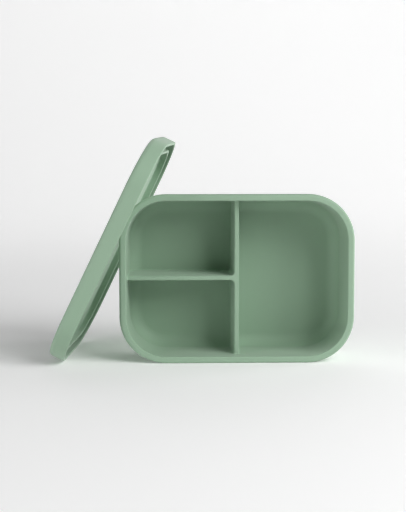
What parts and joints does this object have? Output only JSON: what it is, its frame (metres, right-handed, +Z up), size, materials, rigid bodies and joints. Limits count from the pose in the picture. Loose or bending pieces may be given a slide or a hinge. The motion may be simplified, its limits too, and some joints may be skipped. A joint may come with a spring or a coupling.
{
  "type": "divided lunch box with lid",
  "caption": "Sage-green silicone lunch box with a divided inside, standing on its long side, and its press-on lid leaning against it.",
  "frame": {"origin": "bottom centre of the bounding box of the box and its lid together, on the surface they stand on", "axes": "+X along the box's long side, towards the end away from the lid; -Y out of the box's opening; +Z up"},
  "size_m": [0.2412, 0.1448, 0.1774],
  "materials": {
    "box_silicone": "matte",
    "lid_silicone": "matte"
  },
  "bodies": {
    "box": {"divided_box": "box_silicone"},
    "lid": {"lid": "lid_silicone"}
  },
  "joints": [
    {"name": "lid_lift", "type": "slide", "parent": "box", "child": "lid", "axis": [-0.8963, 0.0847, 0.4352], "range_m": [0, 0.15]}
  ]
}
